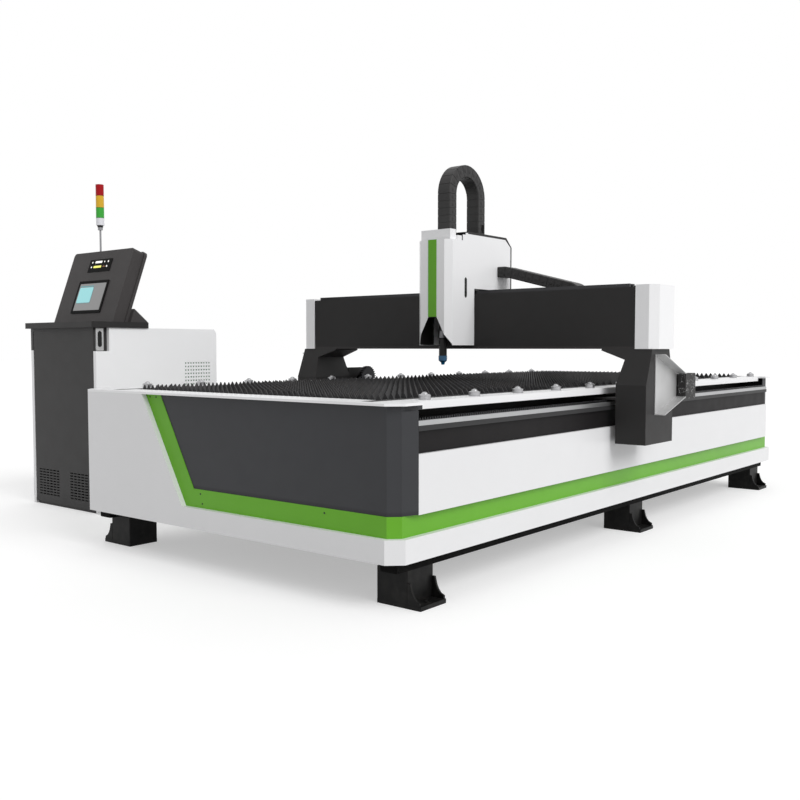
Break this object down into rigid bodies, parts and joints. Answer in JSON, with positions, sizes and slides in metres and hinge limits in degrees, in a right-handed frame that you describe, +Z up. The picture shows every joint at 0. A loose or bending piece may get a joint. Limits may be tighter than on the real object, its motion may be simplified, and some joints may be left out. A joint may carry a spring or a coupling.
{
  "type": "cnc plasma cutting table",
  "caption": "Toothed slat bed with a rack driven gantry, a cross carriage that lifts the torch, drag chains, and a separate control cabinet with a tilted console",
  "frame": {"origin": "on the floor, at the middle of the four corner anchor holes in the feet", "axes": "+Y runs along the bed from its front end to its rear end, +X runs across the bed from the cabinet side, +Z is up"},
  "size_m": [3.665, 4.23, 2.013],
  "materials": {
    "dark_paint": "satin black powder coat",
    "grey_paint": "satin dark grey powder coat",
    "white_paint": "semi-gloss white powder coat",
    "green_paint": "semi-gloss green paint",
    "steel": "ground steel",
    "slat_steel": "dark hot rolled steel",
    "aluminium": "matt anodised aluminium",
    "chain_plastic": "matt black nylon",
    "black_plastic": "fine textured black plastic",
    "console_paint": "fine textured dark grey paint",
    "screen_plastic": "gloss bezel with a pale blue display",
    "nozzle_blue": "glossy blue",
    "white_plastic": "gloss white plastic",
    "lens_red": "clear coloured lens",
    "lens_amber": "clear coloured lens",
    "lens_green": "clear coloured lens"
  },
  "bodies": {
    "bed": {"bed_frame": "dark_paint", "side_beams": "grey_paint", "ledges": "aluminium", "top_frame": "white_paint", "end_covers": "grey_paint", "end_panels": "white_paint", "green_bands": "green_paint", "side_panels": "white_paint", "feet": "dark_paint", "y_rails": "steel", "y_racks": "steel", "slats": "slat_steel", "slag_pans": "slat_steel", "ball_cups": "steel", "balls": "steel", "cabinet_body": "grey_paint", "cabinet_side_left": "white_paint", "cabinet_side_right": "white_paint", "door_lock": "steel", "drive_units": "aluminium", "desk_top": "grey_paint", "console_housing": "console_paint", "touch_screen": "screen_plastic", "indicator_panel": "black_plastic", "tower_pole": "steel", "tower_base": "white_plastic", "lamp_green": "lens_green", "lamp_amber": "lens_amber", "lamp_red": "lens_red"},
    "gantry": {"gantry_beam": "dark_paint", "beam_end_caps": "white_paint", "gantry_legs": "dark_paint", "y_bearing_blocks": "steel", "drive_brackets": "aluminium", "y_motors": "black_plastic", "x_rails": "steel", "x_rack": "steel", "chain_tray": "aluminium", "x_chain_lower": "chain_plastic"},
    "left_pinion": {"y_pinion_left": "steel"},
    "right_pinion": {"y_pinion_right": "steel"},
    "carriage": {"carriage_frame": "dark_paint", "carriage_cover": "white_paint", "carriage_side_plates": "white_paint", "carriage_shell": "dark_paint", "cover_stripe": "green_paint", "x_bearing_blocks": "steel", "x_motor": "black_plastic", "z_actuator": "aluminium", "x_chain_upper": "chain_plastic", "z_chain_rear": "chain_plastic"},
    "cross_pinion": {"x_pinion": "steel"},
    "torch": {"torch_slide": "aluminium", "torch_body": "black_plastic", "torch_nozzle": "nozzle_blue", "z_chain_front": "chain_plastic"},
    "cross_bend": {"x_chain_bend": "chain_plastic"},
    "lift_bend": {"z_chain_bend": "chain_plastic"},
    "door": {"cabinet_door": "grey_paint"}
  },
  "joints": [
    {"name": "gantry_slide", "type": "slide", "parent": "bed", "child": "gantry", "axis": [0, 1, 0], "range_m": [-1.45, 1.8]},
    {"name": "left_pinion_spin", "type": "hinge", "parent": "gantry", "child": "left_pinion", "pos_m": [-0.97, -0.005, 0.78575], "axis": [1, 0, 0], "range_deg": [-1600, 1600]},
    {"name": "right_pinion_spin", "type": "hinge", "parent": "gantry", "child": "right_pinion", "pos_m": [0.97, -0.005, 0.78575], "axis": [1, 0, 0], "range_deg": [-1600, 1600]},
    {"name": "carriage_slide", "type": "slide", "parent": "gantry", "child": "carriage", "axis": [1, 0, 0], "range_m": [-0.77, 0.72]},
    {"name": "cross_pinion_spin", "type": "hinge", "parent": "carriage", "child": "cross_pinion", "pos_m": [0.024, -0.25688, 1.291], "axis": [0, 0, 1], "range_deg": [-1400, 1400]},
    {"name": "torch_lift", "type": "slide", "parent": "carriage", "child": "torch", "axis": [0, 0, 1], "range_m": [-0.075, 0.09], "deforming": ["z_chain_front", "z_chain_rear"]},
    {"name": "cross_bend_slide", "type": "slide", "parent": "gantry", "child": "cross_bend", "axis": [1, 0, 0], "range_m": [-0.4, 0.4], "deforming": ["x_chain_upper", "x_chain_lower"]},
    {"name": "lift_bend_slide", "type": "slide", "parent": "carriage", "child": "lift_bend", "axis": [0, 0, 1], "range_m": [-0.04, 0.05]},
    {"name": "door_hinge", "type": "hinge", "parent": "bed", "child": "door", "pos_m": [-2.376, -1.567, 0.559], "axis": [0, 0, 1], "range_deg": [-90, 0]}
  ],
  "couplings": [
    {"joint": "left_pinion_spin", "follows": "gantry_slide", "rad_per_m": -14.286},
    {"joint": "right_pinion_spin", "follows": "gantry_slide", "rad_per_m": -14.286},
    {"joint": "cross_pinion_spin", "follows": "carriage_slide", "rad_per_m": -28.571},
    {"joint": "cross_bend_slide", "follows": "carriage_slide", "ratio": 0.5},
    {"joint": "lift_bend_slide", "follows": "torch_lift", "ratio": 0.5}
  ]
}
